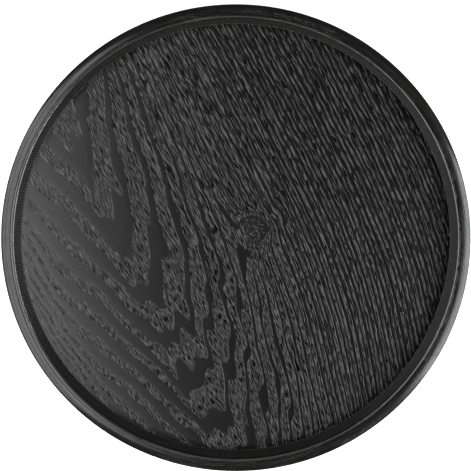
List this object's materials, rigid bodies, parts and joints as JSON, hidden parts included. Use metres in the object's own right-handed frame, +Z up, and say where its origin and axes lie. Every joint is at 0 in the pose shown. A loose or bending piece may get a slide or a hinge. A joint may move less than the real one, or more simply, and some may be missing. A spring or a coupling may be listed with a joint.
{
  "type": "round serving tray",
  "caption": "Round black-stained wooden serving tray: a flat veneered plywood floor in a bent, laminated rim with a rounded crown and a leaning inner wall.",
  "frame": {"origin": "on the table at the tray's centre, in the plane of its foot", "axes": "+Z up through the centre of the round tray; +X to the right and +Y away from the user as the tray is looked down on"},
  "size_m": [0.3, 0.3, 0.02],
  "materials": {
    "face_veneer": "black-stained open-pored ash veneer, satin lacquer, glossier on the dense latewood bands",
    "birch_ply": "bare rotary-cut birch, long grain",
    "birch_crossband": "bare rotary-cut birch, cross grain",
    "back_veneer": "black-stained ash veneer, matt lacquer",
    "rim": "black-stained bent ash, satin lacquer, grain along the rim",
    "wall_strip": "black-stained bent ash with fine upright cutter marks, satin lacquer",
    "ledge_hoop": "black-stained bent ash, matt"
  },
  "bodies": {
    "root": {"face_veneer": "face_veneer", "upper_face_ply": "birch_ply", "upper_crossband": "birch_crossband", "centre_ply": "birch_ply", "lower_crossband": "birch_crossband", "lower_face_ply": "birch_ply", "back_veneer": "back_veneer", "wall_strip": "wall_strip", "inner_rim_strip": "rim", "middle_rim_strip": "rim", "outer_rim_strip": "rim", "ledge_hoop": "ledge_hoop"}
  },
  "joints": []
}
